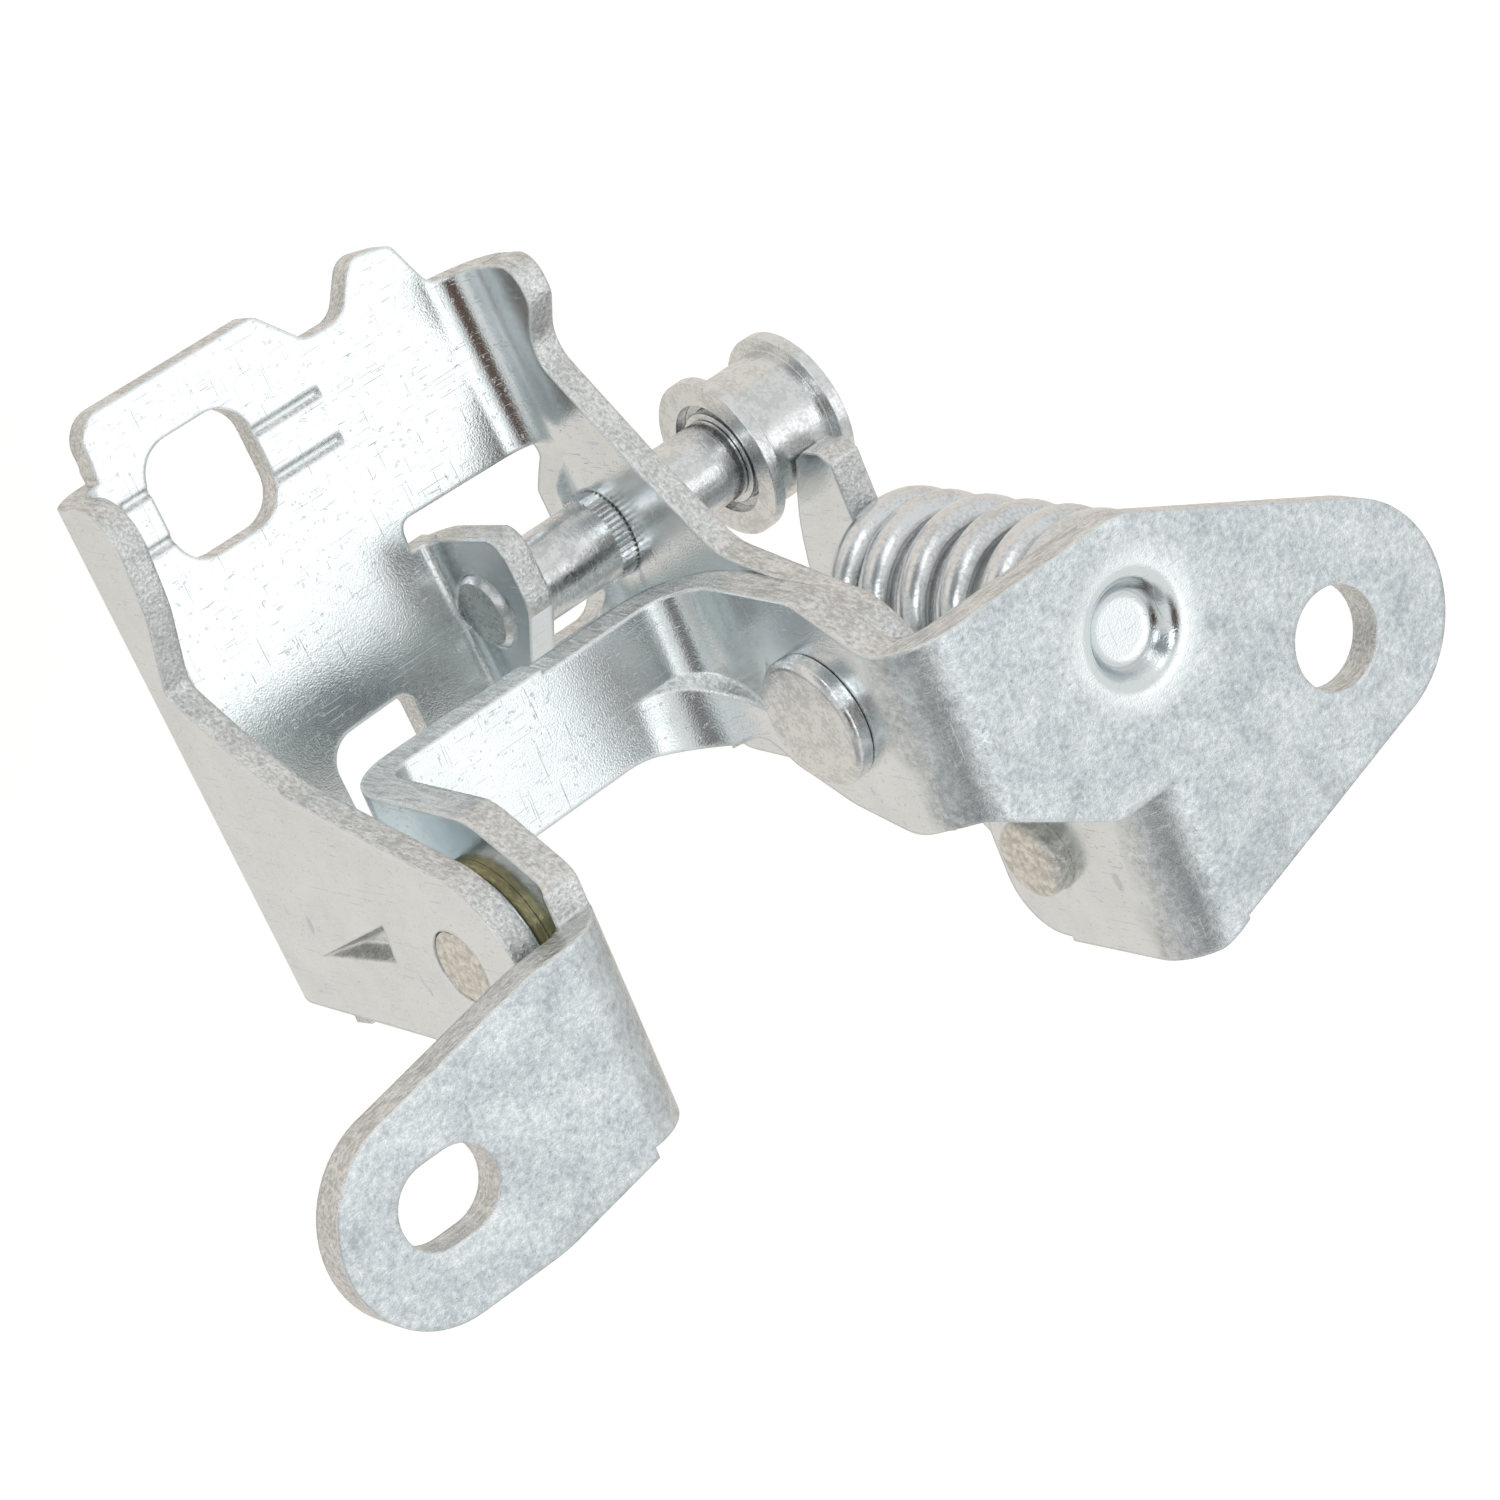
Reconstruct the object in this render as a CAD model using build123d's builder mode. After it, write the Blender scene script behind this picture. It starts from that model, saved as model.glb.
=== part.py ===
from build123d import *
from math import cos, hypot, pi, radians, sin
import os

os.makedirs("parts", exist_ok=True)

# Frame: origin at the round bolt hole on the contact face of the feet, Z out of that face, X along the hinge pins.
HINGE_X = -81.4
HINGE_Y = 20.9
HINGE_Z = -20.0
DOOR_TURN = 5.54

# Sheets
BODY_SHEET = 4.4
BODY_BEND = 3.4
DOOR_SHEET = 3.6
DOOR_BEND = 3.0
FOOT_LEVEL = 20.0
WEB_LEVEL = -24.0
WALL_LOW = -26.6
WALL_HIGH = 23.4
FLANGE_LOW = -33.0
FLANGE_HIGH = 28.9
FLANGE_END = 14.0
DOOR_WEB_LEVEL = -47.2

# Hinge pins and their bushes
PIN_RADIUS = 4.8
PIN_RUNNING_GAP = 0.06
BUSH_WALL = 1.1
BUSH_FLANGE_RADIUS = 10.5
BUSH_FLANGE = 1.3
BUSH_FLANGE_HIGH = 0.9
PIN_HEAD_RADIUS = 8.4
PIN_HEAD = 2.6
PIN_ROUND = 0.7
PIN_CHAMFER = 0.4
BUSH_CHAMFER = 0.3
WASHER_CHAMFER = 0.2
PRESS_GAP = 0.01
SEAT_GAP = 0.05
THRUST_GAP = 0.1
RIM_FIND = 0.01

# Bolt holes
BOLT_HOLE_RADIUS = 6.5
BOLT_X = 81.4
BOLT_Y = -20.9
SLOT_X = -55.5
SLOT_Y = -12.4
SLOT_RADIUS = 5.2
SLOT_TRAVEL = 3.2

# Roller stud
STUD_AT = (-38.5, -21.5)
STUD_RADIUS = 5.36
STUD_END_RADIUS = 4.9
KNURL_RADIUS = 5.75
KNURL_ROOT = 5.4
KNURL_TEETH = 48
EAR_LEVEL = 9.5
JOURNAL_RADIUS = 4.0
ROLLER_START = 47.0
ROLLER_LENGTH = 13.5
ROLLER_FLANGE_RADIUS = 10.55
ROLLER_DRUM_RADIUS = 8.8
ROLLER_FLANGE = 1.8
ROLLER_RECESS_RADIUS = 7.4
ROLLER_RECESS = 1.8
ROLLER_BUSH_RADIUS = 6.2
ROLLER_BUSH_INSET = 0.3
ROLLER_ROUND = 0.5
ROLLER_WASHER = 1.0
ROLLER_WASHER_RADIUS = 6.8
JOURNAL_RIVET = 1.6
JOURNAL_RIVET_RADIUS = 5.2
KNURL_START = 26.4
STUD_RIVET = 0.8

# Outlines of the body bracket
LOW_FOOT_RADIUS = 13.1
HIGH_FOOT_RADIUS = 14.9
EAR_TOP_EDGE = 23.8
EAR_BOTTOM = 46.2
EAR_END = -12.9
EAR_ROUND_HIGH = 9.0
EAR_ROUND_LOW = 7.5
WEB_BEND = 6.5
WALL_SPLIT = 2.0
GUSSET_RADIUS = 12.3
GUSSET_TOP = -6.0
GUSSET_SLOPE = 0.72
GUSSET_SKIN = 3.0
EDGE_ROOM = 60
CUT_ROOM = 1.0

# Outlines of the door bracket
DOOR_TOP = 66.3
DOOR_SHOULDER = 58.7
EYE_RADIUS = 12.6
HIGH_BEND = 5.5
LANCED_TOP = 31.3
LANCED_FOOT = 11.7
LANCED_REACH = -28.6
LANCED_BEND = 2.0
WINDOW_AT = (-13.1, 51.6)
WINDOW_SIZE = 15.4
WINDOW_ROUND = 4.8
GROOVE_WIDTH = 1.5
GROOVE_DEPTH = 0.5
GROOVE_LENGTH_HIGH = 10.4
GROOVE_LENGTH_LOW = 4.6

# Check arm and its pin
ARM_AT = (-3.5, 33.2)
ARM_START = 51.8
ARM_THICK = 4.5
ARM_PIN_RADIUS = 5.2
ARM_BUSH_RADIUS = 6.6
ARM_EYE_RADIUS = 10.0
ARM_RATIO = 0.25
DOOR_TRAVEL = 65.0
ROLLER_GAP = 0.45
EAR_FACE = 46.6
CAM_STEP = 5
DETENTS = (30, 60)
DETENT_DEPTH = 1.2
DETENT_SPREAD = 9
TONGUE_REACH = -20.5
TONGUE_LOW = 12.6
TONGUE_HIGH = -3.4
ARM_PIN_START = 43.8
ARM_PIN_TIP = 1.4
ARM_PIN_CHAMFER = 0.6
ARM_WASHER = 1.2
ARM_WASHER_RADIUS = 9.0
ARM_RING = 1.2
ARM_RING_RADIUS = 7.4
ARM_GROOVE_RADIUS = 4.4

# Check spring
SPRING_X = 54.8
SPRING_Y = -4.6
SPRING_WIRE = 5.0
SPRING_MEAN_RADIUS = 11.4
SPRING_SEAT = -24.0
SPRING_CLOSED = 1.0
SPRING_CLOSE_PITCH = 5.2
SPRING_PITCH = 7.7
SPRING_END_INSET = 0.8
SPRING_STEPS = 12
SPRING_PHASE = 0.0
DIMPLE_RADIUS = 6.8
DIMPLE_FLOOR_RADIUS = 4.6
DIMPLE_DEPTH = 3.0
DIMPLE_SKIN = 1.8


def across(x, turn=0.0):
    """Plane square to the hinge pins, its first axis from the door web to the feet."""
    lean = radians(turn)
    return Plane(origin=(HINGE_X + x, HINGE_Y, HINGE_Z), x_dir=(0, sin(lean), cos(lean)), z_dir=(1, 0, 0))


def along(level, turn=0.0):
    """Plane square to the webs, its first axis along the hinge pins."""
    lean = radians(turn)
    base = Plane(origin=(HINGE_X, HINGE_Y, HINGE_Z), x_dir=(1, 0, 0), z_dir=(0, sin(lean), cos(lean)))
    return base.offset(level)


def section(y, turn=0.0):
    """Plane square to both, for the folded sections: first axis along the pins, second towards the feet."""
    lean = radians(turn)
    return Plane(origin=(HINGE_X, HINGE_Y + y * cos(lean), HINGE_Z - y * sin(lean)), x_dir=(1, 0, 0),
                 z_dir=(0, -cos(lean), sin(lean)))


def turned(point, centre, angle):
    """Point turned about a centre."""
    dx = point[0] - centre[0]
    dy = point[1] - centre[1]
    return (centre[0] + dx * cos(angle) - dy * sin(angle), centre[1] + dx * sin(angle) + dy * cos(angle))


# Body bracket
body_back = WEB_LEVEL + BODY_SHEET
foot_back = FOOT_LEVEL - BODY_SHEET
wall_low_in = WALL_LOW + BODY_SHEET
wall_high_out = WALL_HIGH + BODY_SHEET
bush_radius = PIN_RADIUS + PIN_RUNNING_GAP + BUSH_WALL
FOOT_LOW_END = -80.0
FOOT_HIGH_END = 110.0
hat_outer = [(FOOT_LOW_END, FOOT_LEVEL), (wall_low_in, FOOT_LEVEL), (wall_low_in, body_back),
             (WALL_HIGH, body_back), (WALL_HIGH, FOOT_LEVEL), (FOOT_HIGH_END, FOOT_LEVEL)]
hat_inner = [(FOOT_HIGH_END, foot_back), (wall_high_out, foot_back), (wall_high_out, WEB_LEVEL),
             (WALL_LOW, WEB_LEVEL), (WALL_LOW, foot_back), (FOOT_LOW_END, foot_back)]
convex = [(wall_low_in, FOOT_LEVEL), (WALL_HIGH, FOOT_LEVEL), (WALL_LOW, WEB_LEVEL)]
concave = [(wall_low_in, body_back), (wall_high_out, foot_back), (WALL_LOW, foot_back)]


def near(points, spots):
    """Vertices of a sketch that lie at the given spots."""
    return [v for v in points if any(hypot(v.X - s[0], v.Y - s[1]) < 0.01 for s in spots)]


def outline(corners):
    """Face with the given corners (x, y, radius), each rounded to its own radius."""
    with BuildSketch() as face:
        with BuildLine():
            Polyline(*[(x, y) for x, y, radius in corners], close=True)
        make_face()
        for x, y, radius in corners:
            if radius > 0:
                fillet(near(face.vertices(), [(x, y)]), radius)
    return face.sketch


low_foot_centre = (SLOT_X - 1.8, SLOT_Y - 0.8)
low_foot_outline = [(-20, 4.6, 0), (-36, 3.9, 30), (SLOT_X - 5, SLOT_Y + 11.9, 0), (SLOT_X - 1.8, SLOT_Y - 13.9, 0),
                    (-45, SLOT_Y - 13.9, 20), (-20, -22.0, 0)]
high_foot_centre = (BOLT_X + 3.1, BOLT_Y + 0.4)
ear_bend_end = EAR_FACE + BODY_SHEET + BODY_BEND
high_foot_outline = [(0, 9.2, 0), (58.3, 9.2, 9), (BOLT_X + 9.7, BOLT_Y + 13.8, 0), (BOLT_X + 7.8, BOLT_Y - 13.7, 0),
                     (ear_bend_end, -EAR_BOTTOM + 1.8, 0), (ear_bend_end, -EAR_TOP_EDGE, 0), (43.3, -EAR_TOP_EDGE, 3),
                     (26.8, -14.0, 4), (0, -14.0, 0)]
dimple_at = (SPRING_X, SPRING_Y)
gusset_centre = (WALL_HIGH - GUSSET_RADIUS, body_back + GUSSET_RADIUS)
body_cut = BODY_SHEET + 2 * CUT_ROOM


def gusset_side(top):
    """Outline of the gusset square to the pins, under a slanted top."""
    return outline([(WEB_LEVEL, top + GUSSET_SLOPE * (WEB_LEVEL - body_back), 0),
                    (gusset_centre[1], top + GUSSET_SLOPE * GUSSET_RADIUS, 0), (gusset_centre[1], EDGE_ROOM, 0),
                    (WEB_LEVEL, EDGE_ROOM, 0)])


# Larger radius pressed into the lower end of the bend between the web and the upper wall
with BuildPart() as gusset_fill:
    with BuildSketch(section(-GUSSET_TOP + BODY_SHEET)):
        with Locations(gusset_centre):
            Rectangle(GUSSET_RADIUS + 1, GUSSET_RADIUS + 1, align=(Align.MIN, Align.MAX))
            Circle(GUSSET_RADIUS, mode=Mode.SUBTRACT)
    extrude(amount=EAR_BOTTOM)
    with BuildSketch(across(0)):
        add(gusset_side(GUSSET_TOP))
    extrude(amount=wall_high_out, mode=Mode.INTERSECT)

with BuildPart() as gusset_dent:
    with BuildSketch(section(-GUSSET_TOP)):
        with Locations(gusset_centre):
            Rectangle(GUSSET_RADIUS + BODY_SHEET + 1, GUSSET_RADIUS + BODY_SHEET + 1, align=(Align.MIN, Align.MAX))
            Circle(GUSSET_RADIUS + BODY_SHEET, mode=Mode.SUBTRACT)
    extrude(amount=EAR_BOTTOM)
    with BuildSketch(across(0)):
        add(gusset_side(GUSSET_TOP + GUSSET_SKIN))
    extrude(amount=wall_high_out + 2, mode=Mode.INTERSECT)

with BuildPart() as body_bracket:
    with BuildSketch(section(25)) as hat:
        with BuildLine():
            Polyline(*hat_outer, *hat_inner, close=True)
        make_face()
        fillet(near(hat.vertices(), convex), BODY_BEND + BODY_SHEET)
        fillet(near(hat.vertices(), concave), BODY_BEND)
        fillet(near(hat.vertices(), [(WALL_HIGH, body_back)]), WEB_BEND)
        fillet(near(hat.vertices(), [(wall_high_out, WEB_LEVEL)]), WEB_BEND + BODY_SHEET)
    extrude(amount=EAR_BOTTOM + 25)
    add(gusset_fill.part)
    add(gusset_dent.part, mode=Mode.SUBTRACT)
    # Upper outline of the lower wall
    with BuildSketch(across(WALL_SPLIT)):
        add(outline([(-40, -EDGE_ROOM, 0), (-40, -16.8, 0), (2.6, -16.0, 8), (20, -4.6, 0), (30, -4.6, 0),
                     (30, -EDGE_ROOM, 0)]))
    extrude(amount=WALL_LOW - 9 - WALL_SPLIT, mode=Mode.SUBTRACT)
    # Upper outline of the upper wall
    with BuildSketch(across(WALL_SPLIT)):
        add(outline([(-40, -EDGE_ROOM, 0), (-40, -16.4, 0), (1.6, -15.1, 6), (12.6, -9.2, 7), (30, -9.2, 0),
                     (30, -EDGE_ROOM, 0)]))
    extrude(amount=EDGE_ROOM, mode=Mode.SUBTRACT)
    # Upper and lower outline of the web
    with BuildSketch(along(WEB_LEVEL - CUT_ROOM)):
        add(outline([(-30, EDGE_ROOM, 0), (-30, 18.4, 0), (-19, 18.4, 12), (5, 16.2, 12), (30, 16.2, 0),
                     (30, EDGE_ROOM, 0)]))
        add(outline([(-30, -EDGE_ROOM, 0), (-30, -2.5, 0), (-20, -1.1, 10), (9.6, -0.6, 14), (24.3, -5.6, 10),
                     (30, -6.8, 0), (30, -EDGE_ROOM, 0)]))
    extrude(amount=2 * BODY_SHEET, mode=Mode.SUBTRACT)
    # Lower outline of the lower wall
    with BuildSketch(across(WALL_LOW - BODY_BEND + 0.1)):
        add(outline([(-40, 1, 0), (-18.6, 1.2, 6), (-11, 8.4, 15), (14.8, 21.9, 8), (30, 23.2, 0),
                     (30, EDGE_ROOM, 0), (-40, EDGE_ROOM, 0)]))
    extrude(amount=wall_high_out + 5, mode=Mode.SUBTRACT)
    # Lower outline of the upper wall
    with BuildSketch(across(WALL_HIGH - 13)):
        add(outline([(-40, 4.6, 0), (-17, 4.6, 4), (-12.9, 3.6, 2), (-9.4, 8.4, 5), (-1.5, 12.3, 12),
                     (9.2, 15.3, 9), (15.5, 14.0, 3), (21, 15.7, 0), (30, 15.7, 0), (30, EDGE_ROOM, 0),
                     (-40, EDGE_ROOM, 0)]))
    extrude(amount=19, mode=Mode.SUBTRACT)
    # Outlines of the two feet
    with BuildSketch(along(foot_back - CUT_ROOM)):
        with Locations((FOOT_LOW_END, 0)):
            Rectangle(wall_low_in - FOOT_LOW_END + 24, 2 * EDGE_ROOM, align=(Align.MIN, Align.CENTER))
        add(outline(low_foot_outline), mode=Mode.SUBTRACT)
        with Locations(low_foot_centre):
            Circle(LOW_FOOT_RADIUS, mode=Mode.SUBTRACT)
    extrude(amount=body_cut, mode=Mode.SUBTRACT)
    with BuildSketch(along(foot_back - CUT_ROOM)):
        with Locations((WALL_HIGH + 1, 0)):
            Rectangle(FOOT_HIGH_END - WALL_HIGH, 3 * EDGE_ROOM, align=(Align.MIN, Align.CENTER))
        add(outline(high_foot_outline), mode=Mode.SUBTRACT)
        with Locations(high_foot_centre):
            Circle(HIGH_FOOT_RADIUS, mode=Mode.SUBTRACT)
    extrude(amount=body_cut, mode=Mode.SUBTRACT)
    # Ear bent from the foot, square to the pins, with its rounded end
    with BuildSketch(section(-EAR_TOP_EDGE)) as ear:
        with BuildLine():
            Polyline((EAR_FACE, EAR_END), (EAR_FACE, FOOT_LEVEL), (ear_bend_end + 1, FOOT_LEVEL),
                     (ear_bend_end + 1, foot_back), (EAR_FACE + BODY_SHEET, foot_back),
                     (EAR_FACE + BODY_SHEET, EAR_END), close=True)
        make_face()
        fillet(near(ear.vertices(), [(EAR_FACE, FOOT_LEVEL)]), BODY_BEND + BODY_SHEET)
        fillet(near(ear.vertices(), [(EAR_FACE + BODY_SHEET, foot_back)]), BODY_BEND)
    extrude(amount=EAR_BOTTOM - EAR_TOP_EDGE)
    with BuildSketch(along(EAR_END - 1)):
        add(outline([(EAR_FACE - 1, -EAR_BOTTOM, 0), (EAR_FACE + BODY_SHEET, -EAR_BOTTOM, 4),
                     (ear_bend_end + 3, -EAR_BOTTOM + 2.3, 0), (ear_bend_end + 3, -EAR_BOTTOM - 1, 0),
                     (EAR_FACE - 1, -EAR_BOTTOM - 1, 0)]))
    extrude(amount=FOOT_LEVEL - EAR_END + 2, mode=Mode.SUBTRACT)
    with BuildSketch(across(EAR_FACE - CUT_ROOM)):
        with Locations((EAR_END - 1, (EAR_TOP_EDGE + EAR_BOTTOM) / 2)):
            Rectangle(EAR_ROUND_LOW + 2, EDGE_ROOM, align=(Align.MIN, Align.CENTER))
        add(outline([(EAR_END, EAR_TOP_EDGE, EAR_ROUND_HIGH), (EDGE_ROOM, EAR_TOP_EDGE, 0),
                     (EDGE_ROOM, EAR_BOTTOM, 0), (12, EAR_BOTTOM, 0), (EAR_END, EAR_BOTTOM - 1, EAR_ROUND_LOW)]),
            mode=Mode.SUBTRACT)
    extrude(amount=body_cut, mode=Mode.SUBTRACT)
    # Dimple that seats the spring
    with BuildSketch(along(foot_back - DIMPLE_DEPTH)):
        with Locations(dimple_at):
            Circle(DIMPLE_FLOOR_RADIUS + DIMPLE_SKIN)
    with BuildSketch(along(foot_back + 0.5)):
        with Locations(dimple_at):
            Circle(DIMPLE_RADIUS + DIMPLE_SKIN)
    loft()
    with BuildSketch(along(FOOT_LEVEL - DIMPLE_DEPTH)):
        with Locations(dimple_at):
            Circle(DIMPLE_FLOOR_RADIUS)
    with BuildSketch(along(FOOT_LEVEL)):
        with Locations(dimple_at):
            Circle(DIMPLE_RADIUS)
    loft(mode=Mode.SUBTRACT)
    # Bolt hole and slot
    with BuildSketch(along(foot_back - CUT_ROOM)):
        with Locations((BOLT_X, BOLT_Y)):
            Circle(BOLT_HOLE_RADIUS)
        with Locations((SLOT_X, SLOT_Y)):
            SlotCenterToCenter(SLOT_TRAVEL, 2 * SLOT_RADIUS)
    extrude(amount=body_cut, mode=Mode.SUBTRACT)
    # Bores for the bushes and for the pin of the check arm
    with BuildSketch(across(WALL_LOW - CUT_ROOM)):
        Circle(bush_radius + PRESS_GAP)
    extrude(amount=body_cut, mode=Mode.SUBTRACT)
    with BuildSketch(across(WALL_HIGH - CUT_ROOM)):
        Circle(bush_radius + PRESS_GAP)
    extrude(amount=body_cut, mode=Mode.SUBTRACT)
    with BuildSketch(across(EAR_FACE - CUT_ROOM)):
        with Locations(ARM_AT):
            Circle(ARM_PIN_RADIUS + PRESS_GAP)
    extrude(amount=body_cut, mode=Mode.SUBTRACT)

body_bracket.part.label = "body_bracket"
export_step(body_bracket.part, "parts/body_bracket.step")


# Door bracket
flange_low_in = FLANGE_LOW + DOOR_SHEET
flange_high_out = FLANGE_HIGH + DOOR_SHEET
door_web_in = DOOR_WEB_LEVEL + DOOR_SHEET
door_cut = DOOR_SHEET + 2 * CUT_ROOM
channel = [(FLANGE_LOW, FLANGE_END), (FLANGE_LOW, DOOR_WEB_LEVEL), (flange_high_out, DOOR_WEB_LEVEL),
           (flange_high_out, FLANGE_END), (FLANGE_HIGH, FLANGE_END), (FLANGE_HIGH, door_web_in),
           (flange_low_in, door_web_in), (flange_low_in, FLANGE_END)]
flange_room = [(-EDGE_ROOM, -DOOR_TOP - 9), (FLANGE_END + 21, -DOOR_TOP - 9), (FLANGE_END + 21, 20), (-EDGE_ROOM, 20)]
eye_side = [(3.4, -12.1, 0), (EYE_RADIUS, 0, 0), (4, 11.9, 0), (-3, 12.2, 0)]
low_flange = [(-EDGE_ROOM, -DOOR_SHOULDER, 0), (-31.0, -DOOR_SHOULDER, 5.5), (-33.8, -44.5, 12), (-38.8, -34.2, 1.8),
              (-30.6, -27.2, 12), (-22.6, -21.4, 12), *eye_side, (-16, 10.4, 12), (-42.4, 7.4, 0), (-EDGE_ROOM, 6, 0)]
high_flange = [(-EDGE_ROOM, -DOOR_TOP - 9, 0), (-39, -DOOR_TOP - 9, 0), (-39, -57.8, 0), (-31.7, -57.8, 3.4),
               (-31.6, -52.4, 3), (-36.6, -45.8, 5), (-25.4, -29.6, 0), (-16.6, -18.4, 8), *eye_side,
               (-30, 8.5, 8), (-47.2, -3, 0), (-EDGE_ROOM, -3, 0)]
# Side, first position and outline of each flange
flange_cuts = [(FLANGE_LOW - CUT_ROOM, DOOR_SHEET + 4.4, low_flange), (FLANGE_HIGH - 13, DOOR_SHEET + 16, high_flange)]

with BuildPart() as door_bracket:
    with BuildSketch(section(DOOR_TOP + 4, DOOR_TURN)) as folded:
        with BuildLine():
            Polyline(*channel, close=True)
        make_face()
        fillet(near(folded.vertices(), [(FLANGE_LOW, DOOR_WEB_LEVEL)]), DOOR_BEND + DOOR_SHEET)
        fillet(near(folded.vertices(), [(flange_low_in, door_web_in)]), DOOR_BEND)
        fillet(near(folded.vertices(), [(flange_high_out, DOOR_WEB_LEVEL)]), HIGH_BEND + DOOR_SHEET)
        fillet(near(folded.vertices(), [(FLANGE_HIGH, door_web_in)]), HIGH_BEND)
    extrude(amount=DOOR_TOP + 19)
    # Outlines of the two flanges
    for cut_start, cut_length, flange in flange_cuts:
        with BuildSketch(across(cut_start, DOOR_TURN)):
            with BuildLine():
                Polyline(*flange_room, close=True)
            make_face()
            add(outline(flange), mode=Mode.SUBTRACT)
            Circle(EYE_RADIUS, mode=Mode.SUBTRACT)
        extrude(amount=cut_length, mode=Mode.SUBTRACT)
    # Outline of the web: top edge with its shoulders, notch and lobe
    with BuildSketch(along(DOOR_WEB_LEVEL - CUT_ROOM, DOOR_TURN)):
        add(outline([(-45, 90, 0), (-45, DOOR_SHOULDER, 0), (-33, DOOR_SHOULDER, 0), (-25.8, DOOR_SHOULDER + 0.9, 1.6),
                     (-25.8, DOOR_TOP, 4), (1.2, DOOR_TOP - 0.2, 1.6), (6.2, 60.3, 3), (12.0, 60.2, 3.5),
                     (16.2, DOOR_TOP - 0.2, 3), (21.8, DOOR_TOP - 1.6, 1.6), (24.4, 57.9, 2.5), (45, 57.8, 0),
                     (45, 90, 0)]))
    extrude(amount=25, mode=Mode.SUBTRACT)
    # Lower edge of the web with its cut-out
    with BuildSketch(along(DOOR_WEB_LEVEL - CUT_ROOM, DOOR_TURN)):
        add(outline([(-15.2, -40, 0), (-15.2, 16.8, 4), (-2.0, 17.2, 2), (-2.0, 4, 2), (34, 4, 0), (34, -40, 0)]))
    extrude(amount=DOOR_SHEET + 4, mode=Mode.SUBTRACT)
    # Opening beside the lanced ear, running into the bend
    with BuildSketch(along(DOOR_WEB_LEVEL - CUT_ROOM, DOOR_TURN)):
        add(outline([(6.4, LANCED_TOP + 0.2, 0), (6.8, 35.2, 1.6), (28.8, 34.7, 1.6), (28.8, 32.2, 1.2),
                     (27.0, 28.4, 2.5), (27.0, LANCED_FOOT, 3), (EAR_LEVEL + 1, LANCED_FOOT, 0),
                     (EAR_LEVEL + 1, LANCED_TOP + 0.2, 0)]))
    extrude(amount=DOOR_SHEET + 5.2, mode=Mode.SUBTRACT)
    # Lanced ear
    with BuildSketch(section(LANCED_TOP, DOOR_TURN)) as lanced:
        with BuildLine():
            Polyline((EAR_LEVEL - 7, DOOR_WEB_LEVEL), (EAR_LEVEL + DOOR_SHEET, DOOR_WEB_LEVEL),
                     (EAR_LEVEL + DOOR_SHEET, LANCED_REACH), (EAR_LEVEL, LANCED_REACH), (EAR_LEVEL, door_web_in),
                     (EAR_LEVEL - 7, door_web_in), close=True)
        make_face()
        fillet(near(lanced.vertices(), [(EAR_LEVEL + DOOR_SHEET, DOOR_WEB_LEVEL)]), DOOR_SHEET + LANCED_BEND)
        fillet(near(lanced.vertices(), [(EAR_LEVEL, door_web_in)]), LANCED_BEND)
    extrude(amount=LANCED_TOP - LANCED_FOOT)
    with BuildSketch(across(EAR_LEVEL - CUT_ROOM, DOOR_TURN)):
        with Locations((-24, STUD_AT[1])):
            Rectangle(14, 26, align=(Align.MAX, Align.CENTER))
        add(outline([(-40, -31.4, 0), (LANCED_REACH, -31.4, 3.4), (LANCED_REACH, -21.4, 3), (-36, -LANCED_FOOT, 3),
                     (-40, -LANCED_FOOT, 0)]), mode=Mode.SUBTRACT)
    extrude(amount=DOOR_SHEET + 1.5, mode=Mode.SUBTRACT)
    # Rounded square window and the grooves beside it
    with BuildSketch(along(DOOR_WEB_LEVEL - CUT_ROOM, DOOR_TURN)):
        with Locations(WINDOW_AT):
            RectangleRounded(WINDOW_SIZE, WINDOW_SIZE, WINDOW_ROUND)
    extrude(amount=door_cut, mode=Mode.SUBTRACT)
    with BuildSketch(along(door_web_in, DOOR_TURN)):
        with Locations((-0.3, 54.1), (-0.3, 47.9)):
            Rectangle(GROOVE_LENGTH_HIGH, GROOVE_WIDTH)
        with Locations((-22.8, 54.7), (-22.8, 48.4)):
            Rectangle(GROOVE_LENGTH_LOW, GROOVE_WIDTH)
    extrude(amount=-GROOVE_DEPTH, taper=45, mode=Mode.SUBTRACT)
    # Triangular stop pressed into the lower flange
    with BuildSketch(across(flange_low_in - 1, DOOR_TURN)):
        with BuildLine():
            Polyline((-29, 0.6), (-13.2, -4.6), (-13.8, 0.8), close=True)
        make_face()
    extrude(amount=2.6, taper=20)
    with BuildSketch(across(FLANGE_LOW, DOOR_TURN)):
        with BuildLine():
            Polyline((-32.3, 0.5), (-13.7, -4.8), (-14.9, 0.4), close=True)
        make_face()
    extrude(amount=2.4, taper=20, mode=Mode.SUBTRACT)
    # Bores for the pins and the stud
    for bore_x in (FLANGE_LOW - CUT_ROOM, FLANGE_HIGH - CUT_ROOM):
        with BuildSketch(across(bore_x, DOOR_TURN)):
            Circle(PIN_RADIUS + PRESS_GAP)
        extrude(amount=door_cut, mode=Mode.SUBTRACT)
    with BuildSketch(across(FLANGE_HIGH - 8, DOOR_TURN)):
        with Locations(STUD_AT):
            Circle(KNURL_RADIUS + PRESS_GAP)
    extrude(amount=DOOR_SHEET + 9, mode=Mode.SUBTRACT)
    with BuildSketch(across(EAR_LEVEL - CUT_ROOM, DOOR_TURN)):
        with Locations(STUD_AT):
            Circle(STUD_END_RADIUS + PRESS_GAP)
    extrude(amount=door_cut, mode=Mode.SUBTRACT)

door_bracket.part.label = "door_bracket"
export_step(door_bracket.part, "parts/door_bracket.step")


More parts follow.
